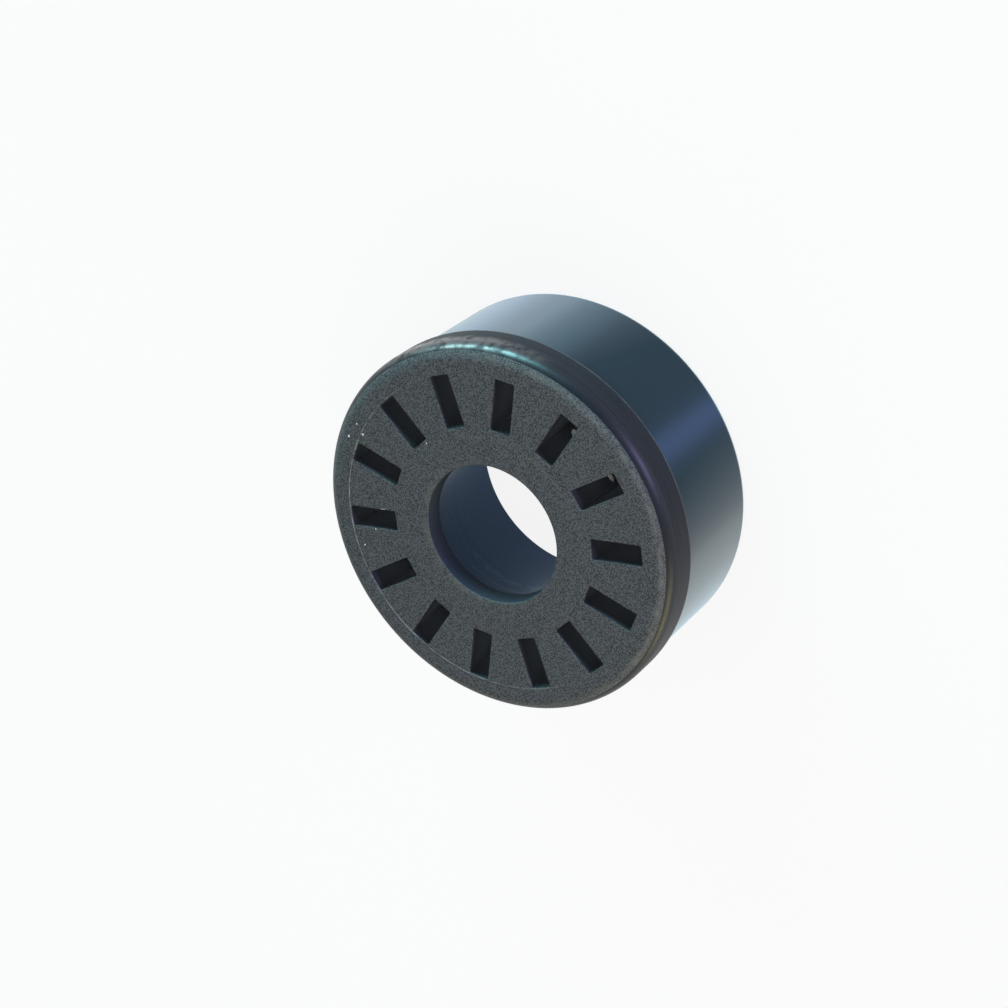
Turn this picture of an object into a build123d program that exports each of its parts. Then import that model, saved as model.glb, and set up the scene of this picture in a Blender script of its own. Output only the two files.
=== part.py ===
"""Rubber fan mount: a thick rubber ring, moulded in one piece, that holds one end of a fan motor.

The ring stands on its rear face, with its axis on +Z and the slotted front face on top.
Lengths are in millimetres and angles in degrees.
"""
from build123d import *
from math import acos, cos, radians, sin, tan
import os

# Outside of the ring
ring_length = 26.4           # rear face to front face
body_diameter = 58.8         # long cylinder that the fan housing clamps
flange_step = 0.6            # how far the flange stands out from the body, on the radius
flange_depth = 7.3           # front face to the foot of the flange
flange_front_radius = 2.6    # round edge between the front face and the flange
flange_back_radius = 1.4     # round shoulder that runs from the flange down to the body
rear_edge_radius = 1.3       # round edge between the body and the rear face

# Stepped bore, which opens towards the rear
bore_diameter = 22.4         # straight land at the front that grips the motor's boss
bore_land_length = 3.3       # front face to the first ledge
bore_mouth_radius = 0.3      # broken edge at the front face
bore_first_ledge = 0.9       # step outwards behind the land
bore_middle_length = 8.2     # first ledge to the second ledge
bore_middle_taper = 10.0     # flare of the middle stretch, from the axis
bore_second_ledge = 0.4      # step outwards behind the middle stretch
bore_rear_taper = 11.9       # flare of the rear stretch, from the axis
bore_rear_radius = 0.9       # round edge at the rear face

# Radial slots in the front face
slot_count = 14
slot_width = 3.3
slot_corner_radius = 0.3
slot_depth = 15.5            # front face to the floor of a slot
hub_wall = 6.0               # rubber between the bore land and the slots
rim_wall = 3.9               # rubber between the slots and the body's outside

# Sizes that follow from the ones above
body_radius = body_diameter / 2
flange_radius = body_radius + flange_step
bore_radius = bore_diameter / 2
flange_foot_height = ring_length - flange_depth
first_ledge_height = ring_length - bore_land_length
second_ledge_height = first_ledge_height - bore_middle_length
slot_inner_radius = bore_radius + hub_wall
slot_outer_radius = body_radius - rim_wall
slot_length = slot_outer_radius - slot_inner_radius
slot_centre_radius = (slot_inner_radius + slot_outer_radius) / 2


def corner(face, radius, height):
    """The corner of a half section that lies nearest to a radius and a height."""
    return face.vertices().sort_by_distance((radius, 0, height))[0]


def outside_section():
    """Half section of the ring as a solid disc: body, shoulder and flange."""
    shoulder_turn = acos(1 - flange_step / flange_back_radius)
    shoulder_top = flange_foot_height + flange_back_radius * sin(shoulder_turn)
    shoulder_middle_radius = flange_radius - flange_back_radius * (1 - cos(shoulder_turn / 2))
    shoulder_middle_height = shoulder_top - flange_back_radius * sin(shoulder_turn / 2)
    straight_edges = Polyline(
        (body_radius, flange_foot_height),
        (body_radius, 0),
        (0, 0),
        (0, ring_length),
        (flange_radius, ring_length),
        (flange_radius, shoulder_top),
    )
    shoulder = ThreePointArc(
        (flange_radius, shoulder_top),
        (shoulder_middle_radius, shoulder_middle_height),
        (body_radius, flange_foot_height),
    )
    section = make_face(Plane.XZ * Curve([straight_edges, shoulder]))
    section = fillet(corner(section, flange_radius, ring_length), flange_front_radius)
    return fillet(corner(section, body_radius, 0), rear_edge_radius)


def bore_section():
    """Half section of the bore: straight land, two ledges and two flared stretches."""
    middle_start_radius = bore_radius + bore_first_ledge
    middle_end_radius = middle_start_radius + bore_middle_length * tan(radians(bore_middle_taper))
    rear_start_radius = middle_end_radius + bore_second_ledge
    rear_end_radius = rear_start_radius + second_ledge_height * tan(radians(bore_rear_taper))
    outline = Polyline(
        (0, 0),
        (rear_end_radius, 0),
        (rear_start_radius, second_ledge_height),
        (middle_end_radius, second_ledge_height),
        (middle_start_radius, first_ledge_height),
        (bore_radius, first_ledge_height),
        (bore_radius, ring_length),
        (0, ring_length),
        close=True,
    )
    return make_face(Plane.XZ * outline), rear_end_radius


def ring_section():
    """Half section of the ring with its bore and the round edges at both mouths."""
    bore, rear_end_radius = bore_section()
    section = outside_section() - bore
    section = fillet(corner(section, bore_radius, ring_length), bore_mouth_radius)
    return fillet(corner(section, rear_end_radius, 0), bore_rear_radius)


def slots():
    """Blind radial pockets, sunk straight down from the front face."""
    outline = RectangleRounded(slot_length, slot_width, slot_corner_radius)
    mouths = Sketch() + [place * outline for place in PolarLocations(slot_centre_radius, slot_count)]
    return extrude(Pos(0, 0, ring_length) * mouths, amount=-slot_depth)


def fan_mount_ring():
    """The whole moulding."""
    return revolve(ring_section(), Axis.Z) - slots()


os.makedirs("parts", exist_ok=True)
export_step(fan_mount_ring(), "parts/fan_mount_ring.step")
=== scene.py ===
"""Looks for the rubber fan mount: one moulded black rubber ring on a pale floor in soft studio light.

Lengths are in metres. The ring stands on its rear face with its axis on +Z.
"""

from math import acos, cos, pi, radians, sin, tan

import bmesh
import bpy
from mathutils import Matrix, Vector, noise

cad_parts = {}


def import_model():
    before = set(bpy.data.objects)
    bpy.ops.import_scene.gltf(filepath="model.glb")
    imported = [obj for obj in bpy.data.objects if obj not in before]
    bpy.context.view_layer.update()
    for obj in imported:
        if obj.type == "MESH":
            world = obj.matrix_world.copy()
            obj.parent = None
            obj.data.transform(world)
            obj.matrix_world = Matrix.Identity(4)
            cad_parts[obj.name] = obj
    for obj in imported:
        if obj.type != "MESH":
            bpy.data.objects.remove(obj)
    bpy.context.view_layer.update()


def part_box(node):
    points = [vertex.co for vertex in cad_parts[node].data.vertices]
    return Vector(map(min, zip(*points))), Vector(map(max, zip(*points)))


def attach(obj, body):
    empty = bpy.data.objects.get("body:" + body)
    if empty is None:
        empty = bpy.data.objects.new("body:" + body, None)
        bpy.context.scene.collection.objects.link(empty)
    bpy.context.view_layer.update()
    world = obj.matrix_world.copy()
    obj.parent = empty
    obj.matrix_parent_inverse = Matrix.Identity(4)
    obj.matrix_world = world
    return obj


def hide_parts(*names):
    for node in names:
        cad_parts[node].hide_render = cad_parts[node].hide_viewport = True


MM = 0.001

# Outside of the ring
BODY_RADIUS = 29.4 * MM
FLANGE_STEP = 0.6 * MM
FLANGE_DEPTH = 7.3 * MM
FLANGE_FRONT_ROUND = 2.6 * MM
FLANGE_BACK_ROUND = 1.4 * MM
REAR_EDGE_ROUND = 1.3 * MM

# Stepped bore
BORE_RADIUS = 11.2 * MM
BORE_LAND_LENGTH = 3.3 * MM
BORE_MOUTH_ROUND = 0.3 * MM
FIRST_LEDGE = 0.9 * MM
MIDDLE_LENGTH = 8.2 * MM
MIDDLE_TAPER = radians(10.0)
SECOND_LEDGE = 0.4 * MM
REAR_TAPER = radians(11.9)
BORE_REAR_ROUND = 0.9 * MM
LEDGE_SOFTENING = 0.12 * MM

# Radial slots
SLOT_COUNT = 14
SLOT_WIDTH = 3.3 * MM
SLOT_CORNER_ROUND = 0.3 * MM
SLOT_INNER_RADIUS = 17.2 * MM
SLOT_OUTER_RADIUS = 25.5 * MM
SLOT_DEPTH = 15.5 * MM
SLOT_LIP = 0.12 * MM

# Fine lines that the mould's inserts leave on the front face
OUTER_WITNESS_RADIUS = 25.65 * MM
INNER_WITNESS_RADIUS = 15.7 * MM
OUTER_WITNESS_HEIGHT = 0.06 * MM
INNER_WITNESS_HEIGHT = 0.02 * MM
WITNESS_HALF_WIDTH = 0.12 * MM
WITNESS_SIDE = radians(75)
WITNESS_LEAST = 0.15

# Where painted highlights run round the face, along its outer round and at the mouth, by distance from the
# axis
EDGE_HIGHLIGHT_RADIUS = 28.45 * MM
MOUTH_HIGHLIGHT_RADIUS = 11.7 * MM

# A flat above this height belongs to the front end
FRONT_HEIGHT = 15.5 * MM

# Depth under the face at which the painted light in the slots is strongest
PAINTED_LIGHT_DEPTH = 6.0 * MM

# Torn film that the mould leaves in two slots: which slot, which side wall, distance from the axis,
# half of its length along the wall, and how far it reaches from the wall
FLASH_TABS = (
    (10, 1, 24.6 * MM, 0.42 * MM, 1.1 * MM),
    (11, -1, 24.35 * MM, 0.7 * MM, 0.6 * MM),
)
FLASH_THICKNESS = 0.10 * MM
FLASH_SUNK = 0.16 * MM
FLASH_ROOT = 0.12 * MM
FLASH_STEPS = 12

# Dust on the front face: turn about the axis, distance from it and size
DUST_SPECKS = (
    (radians(22.0), 27.3 * MM, 0.19 * MM),
    (radians(17.9), 25.3 * MM, 0.19 * MM),
    (radians(16.0), 26.9 * MM, 0.13 * MM),
    (radians(355.9), 16.7 * MM, 0.11 * MM),
    (radians(62.9), 24.4 * MM, 0.13 * MM),
    (radians(56.4), 21.4 * MM, 0.11 * MM),
)
DUST_HEIGHT = 0.06 * MM
FIBRE_START = (radians(46.0), 19.1 * MM)
FIBRE_END = (radians(46.4), 19.8 * MM)
FIBRE_RADIUS = 0.03 * MM

# Smooth skin of the outside, which shines only at a glancing angle. Layer Weight's Facing is 0 where the
# surface looks at the eye and 1 where it is seen edge on: the skin starts at the first value and is full when
# Facing has grown by the second.
SKIN_START = 0.46
SKIN_GROWTH = 0.17

# A line of marks and painted light is full strength where the cosine of the angle from its strongest side is
# over 0.8, at a narrowness of 1, and fades out from there. Most of these lines are painted highlights or
# painted shade, and their strongest side is where the light falls on them.
LINE_REACH = 1.2
BREAKS_SCALE = 700.0
NARROW_PATCH = 8.0

# How small patches of the ring are told apart: the upward lean of the front's flat and of its round edge, the
# downward lean of the rear flat, and how far a patch of each may lie from its nominal place
FLAT_LEAN = 0.75
ROUND_LEAN = 0.12
REAR_LEAN = -0.8
INWARD_LEAN = -0.3
LAND_SLACK = 0.2 * MM
BORE_REACH = 6.0 * MM
PATCH_SLACK = 1.0 * MM

# Steps of the turned ring, of its round edges and of its large front round
TURN_STEPS = SLOT_COUNT * 24
ROUND_STEPS = 10
FRONT_ROUND_STEPS = 16

# Camera: where it stands as seen from its aim, its turn about its own axis, and its aim on the front face
CAMERA_AZIMUTH = radians(-91.654)
CAMERA_ELEVATION = radians(49.615)
CAMERA_ROLL = radians(126.904)
CAMERA_DISTANCE = 316.448 * MM
CAMERA_AIM = (2.362 * MM, -5.816 * MM)
LENS_LENGTH = 76.656
SENSOR_WIDTH = 36.0

# Floor: half of its side, and how much of it is a white glow for the rays that see it directly
FLOOR_REACH = 3.0
FLOOR_GLOW = 0.88

# Room light
ROOM_COLOUR = (0.92, 0.97, 1.0, 1)
ROOM_STRENGTH = 0.35

# Soft boxes: name, azimuth and elevation in degrees, distance, width, height, power in watts and colour
SOFT_BOXES = (
    ("cool window", -7, 5, 0.8, 0.46, 0.2, 6.0, (0.58, 1.0, 1.0)),
    ("teal board", -30, 5, 0.8, 0.40, 0.2, 5.2, (0.36, 0.95, 1.0)),
    ("violet strip", -108, 5, 0.8, 0.17, 0.2, 5.2, (0.60, 0.54, 1.0)),
    ("warm board", -179, 5, 0.8, 0.54, 0.2, 4.3, (1.0, 0.90, 0.46)),
    ("ceiling", 150, 80, 0.9, 1.2, 1.2, 4.8, (1.0, 1.0, 1.0)),
)


# ---------------------------------------------------------------- the ring


def arc(centre_radius, centre_height, radius, start, end, steps=ROUND_STEPS):
    """Points of a half section's round edge, from one angle to another."""
    points = []
    for step in range(steps + 1):
        angle = start + (end - start) * step / steps
        points.append((centre_radius + radius * cos(angle), centre_height + radius * sin(angle)))
    return points


def witness_line(radius, height, top):
    """A low rounded ridge across the front face, from the outside inwards."""
    shape = ((1.0, 0.0), (0.55, 0.6), (0.0, 1.0), (-0.55, 0.6), (-1.0, 0.0))
    return [(radius + WITNESS_HALF_WIDTH * across, top + height * up) for across, up in shape]


def outside_profile(top):
    """Half section of the outside, from the rear face round the flange to the front face."""
    flange_radius = BODY_RADIUS + FLANGE_STEP
    foot = top - FLANGE_DEPTH
    turn = acos(1 - FLANGE_STEP / FLANGE_BACK_ROUND)
    shoulder_top = foot + FLANGE_BACK_ROUND * sin(turn)
    rear = arc(BODY_RADIUS - REAR_EDGE_ROUND, REAR_EDGE_ROUND, REAR_EDGE_ROUND, -pi / 2, 0)
    shoulder = arc(flange_radius - FLANGE_BACK_ROUND, shoulder_top, FLANGE_BACK_ROUND, -turn, 0)
    front_centre = flange_radius - FLANGE_FRONT_ROUND
    front = arc(front_centre, top - FLANGE_FRONT_ROUND, FLANGE_FRONT_ROUND, 0, pi / 2, FRONT_ROUND_STEPS)
    return rear + shoulder + front


def soft_corner(before, point, after, size):
    """Three points that take the sharpness off one corner of a half section."""
    near = []
    for other in (before, after):
        run = Vector(other) - Vector(point)
        near.append(tuple(Vector(point) + run.normalized() * size))
    middle = (Vector(near[0]) + Vector(near[1]) + 2 * Vector(point)) / 4
    return [near[0], tuple(middle), near[1]]


def bore_profile(top):
    """Half section of the bore, from the front face down to the rear face."""
    first_height = top - BORE_LAND_LENGTH
    second_height = first_height - MIDDLE_LENGTH
    middle_start = BORE_RADIUS + FIRST_LEDGE
    middle_end = middle_start + MIDDLE_LENGTH * tan(MIDDLE_TAPER)
    rear_start = middle_end + SECOND_LEDGE
    rear_end = rear_start + second_height * tan(REAR_TAPER)
    corners = [
        (BORE_RADIUS, top - BORE_MOUTH_ROUND),
        (BORE_RADIUS, first_height),
        (middle_start, first_height),
        (middle_end, second_height),
        (rear_start, second_height),
        (rear_end, 0.0),
    ]
    mouth_centre = BORE_RADIUS + BORE_MOUTH_ROUND
    profile = arc(mouth_centre, top - BORE_MOUTH_ROUND, BORE_MOUTH_ROUND, pi / 2, pi, 6)
    for index in range(1, 5):
        profile += soft_corner(corners[index - 1], corners[index], corners[index + 1], LEDGE_SOFTENING)
    # The rear rim: a round that touches the flared wall and the rear face.
    lean = BORE_REAR_ROUND * (1 - sin(REAR_TAPER)) / cos(REAR_TAPER)
    rim_centre = rear_end + lean
    profile += arc(rim_centre, BORE_REAR_ROUND, BORE_REAR_ROUND, pi + REAR_TAPER, 1.5 * pi)
    return profile


def ring_profile(top):
    """The whole closed half section."""
    outer = witness_line(OUTER_WITNESS_RADIUS, OUTER_WITNESS_HEIGHT, top)
    inner = witness_line(INNER_WITNESS_RADIUS, INNER_WITNESS_HEIGHT, top)
    return outside_profile(top) + outer + inner + bore_profile(top)


def add_object(name, mesh):
    """Puts a mesh in the scene under a name."""
    piece = bpy.data.objects.new(name, mesh)
    bpy.context.collection.objects.link(piece)
    return piece


def ridge_share(angle):
    """How tall the witness ridges stand at a turn about the axis: they are worn on one side."""
    return WITNESS_LEAST + (1 - WITNESS_LEAST) * max(0.0, min(1.0, 1.6 * cos(angle - WITNESS_SIDE)))


def turned_mesh(name, profile, flat):
    """Turns a closed half section once round the Z axis, with what stands above the flat varied."""
    build = bmesh.new()
    rings = []
    for step in range(TURN_STEPS):
        angle = 2 * pi * step / TURN_STEPS
        share = ridge_share(angle)
        ring = []
        for radius, height in profile:
            height = min(height, flat) + share * max(0.0, height - flat)
            ring.append(build.verts.new((radius * cos(angle), radius * sin(angle), height)))
        rings.append(ring)
    for step in range(TURN_STEPS):
        here = rings[step]
        following = rings[(step + 1) % TURN_STEPS]
        for index in range(len(profile)):
            after = (index + 1) % len(profile)
            build.faces.new((here[index], following[index], following[after], here[after]))
    bmesh.ops.recalc_face_normals(build, faces=build.faces)
    mesh = bpy.data.meshes.new(name)
    build.to_mesh(mesh)
    build.free()
    return mesh


def slot_outline(length, width, corner, steps=4):
    """A rectangle with round corners, centred on the origin."""
    points = []
    for sign_x, sign_y, start in ((1, 1, 0), (-1, 1, pi / 2), (-1, -1, pi), (1, -1, 1.5 * pi)):
        centre_x = sign_x * (length / 2 - corner)
        centre_y = sign_y * (width / 2 - corner)
        for step in range(steps + 1):
            angle = start + pi / 2 * step / steps
            points.append((centre_x + corner * cos(angle), centre_y + corner * sin(angle)))
    return points


def slot_cutters(top):
    """The slots' pockets as closed plugs, each with a slightly flared mouth."""
    length = SLOT_OUTER_RADIUS - SLOT_INNER_RADIUS
    middle = (SLOT_OUTER_RADIUS + SLOT_INNER_RADIUS) / 2
    # each level: height, and how far the outline grows there
    levels = [(top - SLOT_DEPTH, 0.0), (top - SLOT_LIP, 0.0), (top - SLOT_LIP * 0.3, SLOT_LIP * 0.3)]
    levels += [(top, SLOT_LIP), (top + 1 * MM, SLOT_LIP)]
    build = bmesh.new()
    for slot in range(SLOT_COUNT):
        turn = Matrix.Rotation(2 * pi * slot / SLOT_COUNT, 4, "Z")
        rings = []
        for height, growth in levels:
            outline = slot_outline(length + 2 * growth, SLOT_WIDTH + 2 * growth, SLOT_CORNER_ROUND + growth)
            rings.append([build.verts.new(turn @ Vector((middle + x, y, height))) for x, y in outline])
        for low, high in zip(rings, rings[1:]):
            for index in range(len(low)):
                after = (index + 1) % len(low)
                build.faces.new((low[index], low[after], high[after], high[index]))
        build.faces.new(list(reversed(rings[0])))
        build.faces.new(rings[-1])
    bmesh.ops.recalc_face_normals(build, faces=build.faces)
    mesh = bpy.data.meshes.new("slot_plugs")
    build.to_mesh(mesh)
    build.free()
    return add_object("slot_plugs", mesh)


def apply_modifiers(piece):
    """Writes a piece's modifiers into its mesh."""
    graph = bpy.context.evaluated_depsgraph_get()
    mesh = bpy.data.meshes.new_from_object(piece.evaluated_get(graph))
    piece.modifiers.clear()
    piece.data = mesh


def moulded_ring(top):
    """The rubber ring with its slots cut."""
    piece = add_object("moulded_ring", turned_mesh("moulded_ring", ring_profile(top), top))
    plugs = slot_cutters(top)
    cut = piece.modifiers.new("slots", "BOOLEAN")
    cut.operation = "DIFFERENCE"
    cut.solver = "EXACT"
    cut.object = plugs
    apply_modifiers(piece)
    bpy.data.objects.remove(plugs)
    piece.data.shade_smooth()
    piece.data.set_sharp_from_angle(angle=radians(38))
    even = piece.modifiers.new("even_shading", "WEIGHTED_NORMAL")
    even.keep_sharp = True
    apply_modifiers(piece)
    return piece


# ---------------------------------------------------------------- small things on the face


def slot_flash(top):
    """Ragged tabs of thin rubber film, each grown from a slot's wall just under the face."""
    build = bmesh.new()
    for number, (slot, side, away, half_length, reach) in enumerate(FLASH_TABS):
        turn = Matrix.Rotation(2 * pi * slot / SLOT_COUNT, 4, "Z")
        grid = []
        for column in range(FLASH_STEPS + 1):
            across = 2 * column / FLASH_STEPS - 1
            torn = 1 + 0.7 * noise.noise(Vector((across * 2.6, number * 3.7, 0.5)))
            edge = reach * (1 - across ** 4) * torn
            line = []
            for row in range(FLASH_STEPS + 1):
                out = row / FLASH_STEPS
                ripple = 0.3 * FLASH_THICKNESS * noise.noise(Vector((across * 3, out * 4, number * 5.3)))
                place = Vector((
                    away + across * half_length * (1 - 0.3 * out),
                    side * (SLOT_WIDTH / 2 + FLASH_ROOT - out * (edge + FLASH_ROOT)),
                    top - FLASH_SUNK - 0.35 * reach * out ** 2 + ripple,
                ))
                line.append(build.verts.new(turn @ place))
            grid.append(line)
        for near, far in zip(grid, grid[1:]):
            for row in range(FLASH_STEPS):
                build.faces.new((near[row], far[row], far[row + 1], near[row + 1]))
    bmesh.ops.recalc_face_normals(build, faces=build.faces)
    mesh = bpy.data.meshes.new("slot_flash")
    build.to_mesh(mesh)
    build.free()
    piece = add_object("slot_flash", mesh)
    thick = piece.modifiers.new("film", "SOLIDIFY")
    thick.thickness = FLASH_THICKNESS
    thick.offset = 0
    apply_modifiers(piece)
    piece.data.shade_smooth()
    return piece


def face_dust(top):
    """Uneven grains of dust that lie on the front face."""
    build = bmesh.new()
    for number, (turn, away, size) in enumerate(DUST_SPECKS):
        grain = bmesh.ops.create_icosphere(build, subdivisions=2, radius=size)["verts"]
        for vert in grain:
            vert.co *= 1 + 0.5 * noise.noise(vert.co / size + Vector((number * 4.1, 0, 0)))
            vert.co.z = max(-1, min(1, vert.co.z / size)) * 0.5 * DUST_HEIGHT
            vert.co += Vector((away * cos(turn), away * sin(turn), top + 0.4 * DUST_HEIGHT))
    mesh = bpy.data.meshes.new("face_dust")
    build.to_mesh(mesh)
    build.free()
    piece = add_object("face_dust", mesh)
    piece.data.shade_smooth()
    return piece


def face_fibre(top):
    """A short bent fibre that lies across the face beside a slot."""
    curve = bpy.data.curves.new("face_fibre", "CURVE")
    curve.dimensions = "3D"
    curve.bevel_depth = FIBRE_RADIUS
    curve.bevel_resolution = 2
    spline = curve.splines.new("NURBS")
    spline.points.add(3)
    for index, (share, bend) in enumerate(((0, 0), (0.35, 0.14), (0.7, -0.10), (1, 0.05))):
        turn = FIBRE_START[0] + (FIBRE_END[0] - FIBRE_START[0]) * share
        away = FIBRE_START[1] + (FIBRE_END[1] - FIBRE_START[1]) * share + bend * MM
        spline.points[index].co = (away * cos(turn), away * sin(turn), top + FIBRE_RADIUS, 1)
    spline.order_u = 3
    spline.use_endpoint_u = True
    return add_object("face_fibre", curve)


# ---------------------------------------------------------------- materials


class Nodes:
    """Adds nodes and links to one node tree."""

    def __init__(self, tree):
        self.tree = tree

    def add(self, kind, **settings):
        """A new node with some of its settings changed."""
        node = self.tree.nodes.new(kind)
        for name, value in settings.items():
            setattr(node, name, value)
        return node

    def link(self, source, target):
        """Joins an output to an input."""
        self.tree.links.new(source, target)

    def math(self, operation, first, second=None, clamp=False):
        """One arithmetic step on sockets or plain numbers."""
        node = self.add("ShaderNodeMath", operation=operation, use_clamp=clamp)
        for socket, value in zip(node.inputs, (first, second)):
            if value is None:
                continue
            if isinstance(value, (int, float)):
                socket.default_value = value
            else:
                self.link(value, socket)
        return node.outputs[0]

    def mix(self, share, first, second):
        """A blend of two colours."""
        node = self.add("ShaderNodeMix", data_type="RGBA")
        for socket, value in ((node.inputs[0], share), (node.inputs[6], first), (node.inputs[7], second)):
            if isinstance(value, (int, float, tuple)):
                socket.default_value = value
            else:
                self.link(value, socket)
        return node.outputs[2]

    def group(self, tree, **values):
        """Places a node group, with its own values."""
        node = self.add("ShaderNodeGroup", node_tree=tree)
        for name, value in values.items():
            node.inputs[name.replace("_", " ")].default_value = value
        return node


def new_group(name, inputs, outputs):
    """An empty node group with named value sockets."""
    tree = bpy.data.node_groups.new(name, "ShaderNodeTree")
    for label, default in inputs:
        socket = tree.interface.new_socket(name=label, in_out="INPUT", socket_type="NodeSocketFloat")
        socket.default_value = default
    for label in outputs:
        tree.interface.new_socket(name=label, in_out="OUTPUT", socket_type="NodeSocketFloat")
    kit = Nodes(tree)
    return tree, kit, kit.add("NodeGroupInput"), kit.add("NodeGroupOutput")


def own_place(kit):
    """A point's own coordinates."""
    return kit.add("ShaderNodeTexCoord").outputs["Object"]


def own_axes(kit):
    """A point's own coordinates, split into X, Y and Z."""
    split = kit.add("ShaderNodeSeparateXYZ")
    kit.link(own_place(kit), split.inputs[0])
    return split.outputs


def rubber_grain():
    """Fine moulded grain with broad, faint blotches."""
    tree, kit, given, result = new_group(
        "rubber grain", (("Grain Size", 0.2), ("Blotch Size", 3.0)), ("Grain", "Blotch", "Height")
    )
    masks = []
    for size, detail in ((given.outputs["Grain Size"], 4.0), (given.outputs["Blotch Size"], 3.0)):
        noise_node = kit.add("ShaderNodeTexNoise")
        noise_node.inputs["Detail"].default_value = detail
        kit.link(own_place(kit), noise_node.inputs["Vector"])
        kit.link(kit.math("DIVIDE", 1 / MM, size), noise_node.inputs["Scale"])
        masks.append(noise_node.outputs["Fac"])
    kit.link(masks[0], result.inputs["Grain"])
    kit.link(masks[1], result.inputs["Blotch"])
    kit.link(kit.math("ADD", masks[0], kit.math("MULTIPLY", masks[1], 0.3)), result.inputs["Height"])
    return tree


def turning_marks():
    """Fine rings that the turned mould leaves, running round the axis, with a length before each breaks."""
    tree, kit, given, result = new_group("turning marks", (("Spacing", 0.3), ("Length", 20.0)), ("Marks",))
    axes = own_axes(kit)
    join = kit.add("ShaderNodeCombineXYZ")
    slow = kit.math("DIVIDE", 1 / MM, given.outputs["Length"])
    fast = kit.math("DIVIDE", 1 / MM, given.outputs["Spacing"])
    for axis, rate in zip(range(3), (slow, slow, fast)):
        kit.link(kit.math("MULTIPLY", axes[axis], rate), join.inputs[axis])
    marks = kit.add("ShaderNodeTexNoise")
    marks.inputs["Scale"].default_value = 1.0
    marks.inputs["Detail"].default_value = 3.0
    kit.link(join.outputs[0], marks.inputs["Vector"])
    kit.link(marks.outputs["Fac"], result.inputs["Marks"])
    return tree


def line_of_marks_and_painted_light():
    """A thin broken line where a measure has one value in mm, strongest towards one side of the axis.

    It draws marks, and also painted highlights and painted shade whose strongest side is where the light
    falls.
    """
    tree, kit, given, result = new_group(
        "line of marks and painted light",
        (("Measure", 0.0), ("Value", 1.0), ("Half Width", 0.15), ("Strong Side", 180.0), ("Least", 0.3),
         ("Narrowness", 1.0)),
        ("Mask",),
    )
    axes = own_axes(kit)
    gap = kit.math("ABSOLUTE", kit.math("SUBTRACT", given.outputs["Measure"], given.outputs["Value"]))
    line = kit.math("SUBTRACT", 1.0, kit.math("DIVIDE", gap, given.outputs["Half Width"]), clamp=True)
    around = kit.math("ARCTAN2", axes[1], axes[0])
    side = kit.math("COSINE", kit.math("SUBTRACT", around, kit.math("RADIANS", given.outputs["Strong Side"])))
    turned = kit.math("MULTIPLY", kit.math("SUBTRACT", side, 1.0), given.outputs["Narrowness"])
    nearness = kit.math("ADD", turned, LINE_REACH, clamp=True)
    room = kit.math("SUBTRACT", 1.0, given.outputs["Least"])
    strength = kit.math("ADD", kit.math("MULTIPLY", nearness, room), given.outputs["Least"])
    breaks = kit.add("ShaderNodeTexNoise")
    breaks.inputs["Scale"].default_value = BREAKS_SCALE
    kit.link(own_place(kit), breaks.inputs["Vector"])
    ragged = kit.math("SUBTRACT", kit.math("MULTIPLY", breaks.outputs["Fac"], 3.6), 1.2, clamp=True)
    kit.link(kit.math("MULTIPLY", kit.math("MULTIPLY", line, strength), ragged), result.inputs["Mask"])
    return tree


def start_material(name):
    """A new material, its node kit and its Principled shader."""
    material = bpy.data.materials.new(name)
    material.use_nodes = True
    return material, Nodes(material.node_tree), material.node_tree.nodes["Principled BSDF"]


def add_bump(kit, shader, height, distance):
    """Raises the surface's shading by a height."""
    bump = kit.add("ShaderNodeBump")
    bump.inputs["Strength"].default_value = 1.0
    bump.inputs["Distance"].default_value = distance
    kit.link(height, bump.inputs["Height"])
    kit.link(bump.outputs["Normal"], shader.inputs["Normal"])


def add_line(kit, base, line, measure, amount, colour, **values):
    """Lays one line over a base colour, with the line's own values; many of the lines are painted highlights
    or painted shade.
    """
    # This mask draws marks as well as painted highlights and painted shade.
    worn = kit.group(line, **values)
    kit.link(measure, worn.inputs["Measure"])
    return kit.mix(kit.math("MULTIPLY", worn.outputs["Mask"], amount), base, colour)


def axis_distance(kit, axes):
    """Distance of a point from the Z axis, in mm."""
    squares = [kit.math("MULTIPLY", axis, axis) for axis in (axes[0], axes[1])]
    return kit.math("MULTIPLY", kit.math("SQRT", kit.math("ADD", *squares)), 1 / MM)


def stretched(kit, value, start, gain):
    """What a value has above a start, made larger and kept between 0 and 1."""
    return kit.math("MULTIPLY", kit.math("SUBTRACT", value, start, clamp=True), gain, clamp=True)


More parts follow.
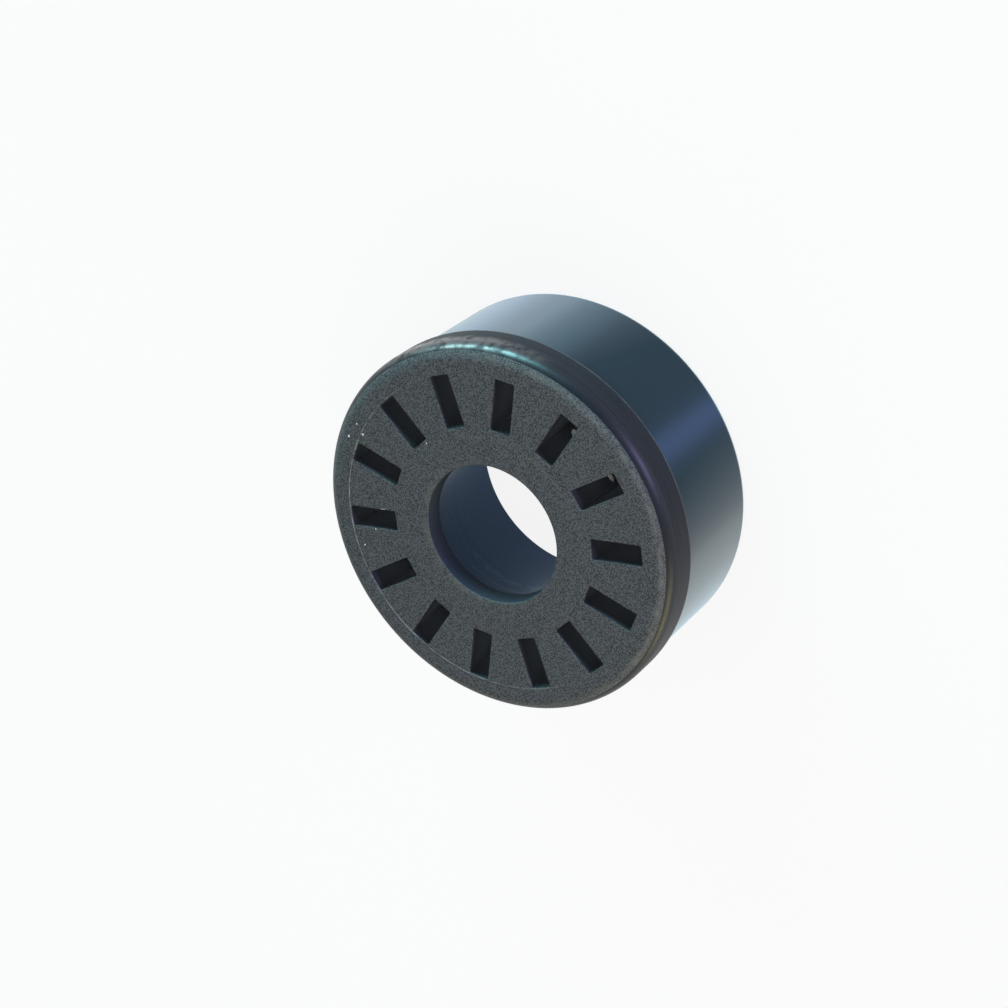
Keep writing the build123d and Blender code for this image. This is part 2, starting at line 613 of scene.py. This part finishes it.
def face_rubber(grain, line):
    """Matte grained rubber of the two flat ends, with the mould's witness lines in front, the outer one with
    a painted highlight, and painted highlights along the outer edge and round the mouth.
    """
    material, kit, shader = start_material("grained face rubber")
    texture = kit.group(grain, Grain_Size=0.2, Blotch_Size=1.8)
    blotch = stretched(kit, texture.outputs["Blotch"], 0.3, 2.5)
    speck = stretched(kit, texture.outputs["Grain"], 0.43, 8.0)
    base = kit.mix(blotch, (0.011, 0.018, 0.017, 1), (0.017, 0.016, 0.024, 1))
    base = kit.mix(speck, base, (0.082, 0.094, 0.100, 1))
    axes = own_axes(kit)
    front = kit.math("GREATER_THAN", axes[2], FRONT_HEIGHT)
    measure = kit.math("MULTIPLY", axis_distance(kit, axes), front)
    # each line: radius, amount, colour, half width in mm, strongest side in degrees, least share elsewhere
    for radius, amount, colour, half_width, side, least in (
        # Painted highlight along the outer witness ridge, strongest on one side.
        (OUTER_WITNESS_RADIUS, 0.9, (0.26, 0.28, 0.27, 1), 0.16, 75.0, 0.0),
        (INNER_WITNESS_RADIUS, 0.3, (0.14, 0.15, 0.14, 1), 0.3, -60.0, 0.12),
        # Painted highlight along the round of the outer edge, strongest on one side.
        (EDGE_HIGHLIGHT_RADIUS, 0.6, (0.14, 0.145, 0.125, 1), 0.6, -115.0, 0.05),
        # Painted highlight round the mouth, strongest on one side.
        (MOUTH_HIGHLIGHT_RADIUS, 0.5, (0.12, 0.125, 0.11, 1), 0.7, 70.0, 0.15),
    ):
        base = add_line(kit, base, line, measure, amount, colour,
                        Value=radius / MM, Half_Width=half_width, Strong_Side=side, Least=least)
    kit.link(base, shader.inputs["Base Color"])
    shader.inputs["Roughness"].default_value = 0.55
    shader.inputs["Specular IOR Level"].default_value = 0.4
    add_bump(kit, shader, texture.outputs["Height"], 0.05 * MM)
    return material


def glancing_gloss(kit, skin):
    """Strength of the smooth skin, which shows only where the surface is seen at a glancing angle."""
    facing = kit.add("ShaderNodeLayerWeight").outputs["Facing"]
    glancing = kit.math("DIVIDE", kit.math("SUBTRACT", facing, SKIN_START), SKIN_GROWTH, clamp=True)
    return kit.math("MULTIPLY", glancing, skin)


def handled_gloss(kit, line, measure, polish):
    """Strength of one patch that handling has made glossy."""
    height, half_width, side, strength = polish
    patch = kit.group(line, Value=height / MM, Half_Width=half_width, Strong_Side=side, Least=0.0,
                      Narrowness=NARROW_PATCH)
    kit.link(measure, patch.inputs["Measure"])
    return kit.math("MULTIPLY", patch.outputs["Mask"], strength)


def turned_rubber(name, groups, tones, depth, finish, skin=0.0, lips=(), polish=None):
    """Rubber that keeps the fine rings of its turned mould, which run round the axis.

    tones are the dark and the light base colour, depth is the height of the rings' bump, and finish holds the
    shader's own values. skin is the strength of a smooth skin that shines at a glancing angle only. Each lip
    is a line of colour round the axis, most of them a painted highlight or painted shade at an edge,
    strongest
    on the side where the light falls: its height, colour, amount, half width in mm and strongest side in
    degrees. polish is one patch that handling has made glossy: its height, half width, side and strength.
    """
    grain, marks, line = groups
    material, kit, shader = start_material(name)
    texture = kit.group(grain, Grain_Size=0.18, Blotch_Size=3.5).outputs["Grain"]
    rings = kit.group(marks, Spacing=0.35, Length=25.0).outputs["Marks"]
    tone = kit.math("ADD", kit.math("MULTIPLY", texture, 0.6), kit.math("MULTIPLY", rings, 0.4))
    base = kit.mix(stretched(kit, tone, 0.25, 2.0), *tones)
    axes = own_axes(kit)
    measure = kit.math("MULTIPLY", axes[2], 1 / MM)
    # Each lip lays a line of colour round the axis, most of them painted highlight or painted shade.
    for height, colour, amount, half_width, side in lips:
        base = add_line(kit, base, line, measure, amount, colour,
                        Value=height / MM, Half_Width=half_width, Strong_Side=side, Least=0.12)
    kit.link(base, shader.inputs["Base Color"])
    for socket, value in finish.items():
        shader.inputs[socket].default_value = value
    shader.inputs["Anisotropic Rotation"].default_value = 0.25
    tangent = kit.add("ShaderNodeTangent", direction_type="RADIAL", axis="Z")
    kit.link(tangent.outputs[0], shader.inputs["Tangent"])
    gloss = glancing_gloss(kit, skin) if skin else 0.0
    if polish:
        gloss = kit.math("ADD", gloss, handled_gloss(kit, line, measure, polish), clamp=True)
    if skin or polish:
        kit.link(gloss, shader.inputs["Coat Weight"])
    height = kit.math("ADD", kit.math("MULTIPLY", rings, 0.7), kit.math("MULTIPLY", texture, 0.5))
    add_bump(kit, shader, height, depth)
    return material


def body_rubber(groups):
    """Satin rubber of the body, with a smooth skin and a faint cold bloom."""
    return turned_rubber(
        "satin body rubber", groups, ((0.002, 0.003, 0.006, 1), (0.008, 0.012, 0.020, 1)), 0.014 * MM, {
            "Roughness": 0.42, "Anisotropic": 1.0,
            "Specular IOR Level": 0.45, "Specular Tint": (0.40, 0.68, 1.0, 1),
            "Coat Roughness": 0.14, "Coat IOR": 1.55,
            "Sheen Weight": 0.55, "Sheen Roughness": 0.33, "Sheen Tint": (0.40, 0.85, 1.0, 1),
        }, skin=1.0)


def handled_patch(top):
    """The patch of the flange and its edge that handling has made glossy."""
    return top - 2.0 * MM, 2.4, -32.0, 1.9


def flange_rubber(groups, top):
    """Dull rubber of the flange's side, with a painted highlight along its back shoulder."""
    # A painted highlight along the back shoulder, strongest on one side.
    shoulder = (top - FLANGE_DEPTH + 0.55 * MM, (0.12, 0.125, 0.11, 1), 0.6, 0.35, -80.0)
    return turned_rubber(
        "dull flange rubber", groups, ((0.003, 0.004, 0.006, 1), (0.023, 0.025, 0.032, 1)), 0.02 * MM, {
            "Roughness": 0.5, "Anisotropic": 0.3,
            "Specular IOR Level": 0.10, "Specular Tint": (0.85, 0.98, 0.95, 1),
            "Coat Roughness": 0.3, "Coat IOR": 1.55,
        }, skin=0.1, lips=(shoulder,), polish=handled_patch(top))


def edge_rubber(groups, top):
    """Smoother rubber of the flange's round front edge."""
    return turned_rubber(
        "smooth edge rubber", groups, ((0.004, 0.005, 0.008, 1), (0.016, 0.018, 0.024, 1)), 0.006 * MM, {
            "Roughness": 0.4,
            "Specular IOR Level": 0.24, "Specular Tint": (0.9, 0.93, 1.0, 1),
            "Coat Roughness": 0.3, "Coat IOR": 1.55,
        }, polish=handled_patch(top))


def land_rubber(groups, top):
    """Dull rubber of the bore's land, with a painted highlight along its ledge."""
    # A painted highlight along the ledge at the land's end, strongest on one side.
    painted_ledge_highlight = (top - BORE_LAND_LENGTH, (0.10, 0.12, 0.13, 1), 0.4, 0.3, 90.0)
    return turned_rubber(
        "dull land rubber", groups, ((0.014, 0.019, 0.029, 1), (0.042, 0.053, 0.072, 1)), 0.03 * MM, {
            "Roughness": 0.55, "Anisotropic": 0.5,
            "Specular IOR Level": 0.12, "Specular Tint": (0.75, 0.87, 1.0, 1),
        }, lips=(painted_ledge_highlight,))


def bore_rubber(groups, top):
    """Satin rubber of the bore behind its land, with two pale lines, stronger towards one side, and painted
    shade along the second ledge.
    """
    middle = top - BORE_LAND_LENGTH
    pale_and_shade_lines = (
        # Two pale lines round the wall, stronger towards one side.
        (middle - 3.1 * MM, (0.20, 0.27, 0.29, 1), 0.75, 0.4, 180.0),
        (middle - 6.0 * MM, (0.22, 0.30, 0.32, 1), 0.9, 1.3, 180.0),
        # Painted shade: a dark line along the second ledge.
        (middle - MIDDLE_LENGTH, (0.004, 0.006, 0.010, 1), 0.8, 0.4, 110.0),
    )
    return turned_rubber(
        "satin bore rubber", groups, ((0.010, 0.016, 0.030, 1), (0.036, 0.050, 0.078, 1)), 0.03 * MM, {
            "Roughness": 0.5, "Anisotropic": 0.7,
            "Specular IOR Level": 0.5, "Specular Tint": (0.40, 0.60, 1.0, 1),
            "Coat Weight": 1.0, "Coat IOR": 1.05, "Coat Tint": (0.70, 0.86, 1.0, 1),
        }, lips=pale_and_shade_lines)


def slot_rubber(grain, top):
    """Dark rubber inside the slots, painted paler deeper down as painted light where little light reaches."""
    material, kit, shader = start_material("slot wall rubber")
    texture = kit.group(grain, Grain_Size=0.3, Blotch_Size=2.0)
    base = kit.mix(texture.outputs["Grain"], (0.018, 0.021, 0.026, 1), (0.026, 0.030, 0.037, 1))
    axes = own_axes(kit)
    # Painted light: the walls are painted paler deeper down, where the slots get little light.
    sunk = kit.math("DIVIDE", kit.math("SUBTRACT", top, axes[2]), PAINTED_LIGHT_DEPTH, clamp=True)
    base = kit.mix(sunk, base, (0.20, 0.22, 0.25, 1))
    kit.link(base, shader.inputs["Base Color"])
    shader.inputs["Roughness"].default_value = 0.6
    add_bump(kit, shader, texture.outputs["Height"], 0.02 * MM)
    return material


def patchy_material(name, dark, light, size, roughness):
    """A dull material whose tone wanders a little."""
    material, kit, shader = start_material(name)
    patchy = kit.add("ShaderNodeTexNoise")
    patchy.inputs["Scale"].default_value = 1 / size
    kit.link(own_place(kit), patchy.inputs["Vector"])
    kit.link(kit.mix(patchy.outputs["Fac"], dark, light), shader.inputs["Base Color"])
    shader.inputs["Roughness"].default_value = roughness
    add_bump(kit, shader, patchy.outputs["Fac"], 0.02 * MM)
    return material


# The ring's zones, numbered in the order of its materials
FACE, BODY, FLANGE, EDGE, LAND, BORE, SLOT = range(7)


def zone(centre, normal, top):
    """Which of the ring's surfaces a small patch of it belongs to."""
    away = Vector((centre.x, centre.y)).length
    outward = (centre.x * normal.x + centre.y * normal.y) / away
    height = centre.z
    if away > BODY_RADIUS - FLANGE_FRONT_ROUND:
        if normal.z > FLAT_LEAN or height < REAR_EDGE_ROUND and normal.z < REAR_LEAN:
            return FACE
        if height < top - FLANGE_DEPTH:
            return BODY
        return EDGE if normal.z > ROUND_LEAN else FLANGE
    if away < BORE_RADIUS + LAND_SLACK and height < top - BORE_MOUTH_ROUND / 2:
        return LAND
    looks_inward = away < SLOT_INNER_RADIUS + PATCH_SLACK and outward < INWARD_LEAN
    if looks_inward and height < top - BORE_LAND_LENGTH / 2:
        return BORE
    if away < BORE_RADIUS + BORE_REACH and BORE_REAR_ROUND < height < top - PATCH_SLACK:
        return BORE
    if away > SLOT_INNER_RADIUS - SLOT_LIP and top - SLOT_DEPTH - PATCH_SLACK < height < top - SLOT_LIP:
        return SLOT
    return FACE


def dress_ring(ring, top):
    """Gives each surface of the ring its rubber, in the order of the zones' numbers."""
    grain, marks, line = rubber_grain(), turning_marks(), line_of_marks_and_painted_light()
    groups = (grain, marks, line)
    rubbers = (
        face_rubber(grain, line),
        body_rubber(groups),
        flange_rubber(groups, top),
        edge_rubber(groups, top),
        land_rubber(groups, top),
        bore_rubber(groups, top),
        slot_rubber(grain, top),
    )
    ring.data.materials.clear()
    for rubber in rubbers:
        ring.data.materials.append(rubber)
    for patch in ring.data.polygons:
        patch.material_index = zone(patch.center, patch.normal, top)


# ---------------------------------------------------------------- floor, light and camera


def floor():
    """A wide floor that takes the ring's shadow and looks white to camera, glossy and transmission rays."""
    build = bmesh.new()
    corners = ((-1, -1), (1, -1), (1, 1), (-1, 1))
    build.faces.new([build.verts.new((x * FLOOR_REACH, y * FLOOR_REACH, 0)) for x, y in corners])
    mesh = bpy.data.meshes.new("floor")
    build.to_mesh(mesh)
    build.free()
    piece = add_object("floor", mesh)
    material = bpy.data.materials.new("pale floor")
    material.use_nodes = True
    kit = Nodes(material.node_tree)
    material.node_tree.nodes.clear()
    out = kit.add("ShaderNodeOutputMaterial")
    mix = kit.add("ShaderNodeMixShader")
    matte = kit.add("ShaderNodeBsdfDiffuse")
    glow = kit.add("ShaderNodeEmission")
    path = kit.add("ShaderNodeLightPath")
    matte.inputs["Color"].default_value = (0.8, 0.8, 0.8, 1)
    seen = kit.math("MAXIMUM", path.outputs["Is Camera Ray"], path.outputs["Is Glossy Ray"])
    seen = kit.math("MAXIMUM", seen, path.outputs["Is Transmission Ray"])
    kit.link(kit.math("MULTIPLY", seen, FLOOR_GLOW), mix.inputs[0])
    kit.link(matte.outputs[0], mix.inputs[1])
    kit.link(glow.outputs[0], mix.inputs[2])
    kit.link(mix.outputs[0], out.inputs["Surface"])
    mesh.materials.append(material)


def soft_box(name, azimuth, elevation, distance, width, height, power, colour):
    """A rectangular lamp that faces the ring."""
    data = bpy.data.lights.new(name, "AREA")
    data.shape = "RECTANGLE"
    data.size = width
    data.size_y = height
    data.energy = power
    data.color = colour
    lamp = bpy.data.objects.new(name, data)
    bpy.context.collection.objects.link(lamp)
    level = cos(radians(elevation))
    away = Vector((level * cos(radians(azimuth)), level * sin(radians(azimuth)), sin(radians(elevation))))
    lamp.location = away * distance
    lamp.rotation_mode = "QUATERNION"
    lamp.rotation_quaternion = away.to_track_quat("Z", "Y")


def light():
    """A dim pale room, with soft boxes low round the ring and one above it."""
    world = bpy.data.worlds.new("studio")
    bpy.context.scene.world = world
    world.use_nodes = True
    background = world.node_tree.nodes["Background"]
    background.inputs["Color"].default_value = ROOM_COLOUR
    background.inputs["Strength"].default_value = ROOM_STRENGTH
    for box in SOFT_BOXES:
        soft_box(*box)


def camera(top):
    """The camera looks down on the slotted face, rolled about its own axis."""
    aim = Vector((CAMERA_AIM[0], CAMERA_AIM[1], top))
    level = cos(CAMERA_ELEVATION)
    back = Vector((level * cos(CAMERA_AZIMUTH), level * sin(CAMERA_AZIMUTH), sin(CAMERA_ELEVATION)))
    data = bpy.data.cameras.new("camera")
    data.lens = LENS_LENGTH
    data.sensor_width = SENSOR_WIDTH
    data.clip_start = 0.01
    eye = bpy.data.objects.new("camera", data)
    bpy.context.collection.objects.link(eye)
    place = Matrix.Translation(aim + back * CAMERA_DISTANCE)
    turn = back.to_track_quat("Z", "Y").to_matrix().to_4x4()
    eye.matrix_world = place @ turn @ Matrix.Rotation(-CAMERA_ROLL, 4, "Z")
    bpy.context.scene.camera = eye


def main():
    """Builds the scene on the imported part."""
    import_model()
    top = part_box("fan_mount_ring")[1][2]
    # The outer witness ridge is the highest line, so that the flat of the face lies just under it.
    face = top - OUTER_WITNESS_HEIGHT
    ring = moulded_ring(face)
    dress_ring(ring, face)
    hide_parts("fan_mount_ring")
    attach(ring, "root")
    flash = slot_flash(face)
    flash.data.materials.append(patchy_material(
        "torn rubber film", (0.04, 0.042, 0.04, 1), (0.15, 0.15, 0.135, 1), 0.25 * MM, 0.6))
    lint = patchy_material("pale lint", (0.45, 0.46, 0.42, 1), (0.80, 0.80, 0.74, 1), 0.25 * MM, 0.9)
    for piece in (face_dust(face), face_fibre(face)):
        piece.data.materials.append(lint)
        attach(piece, "root")
    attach(flash, "root")
    floor()
    light()
    camera(top)
    scene = bpy.context.scene
    scene.view_settings.view_transform = "Standard"


main()
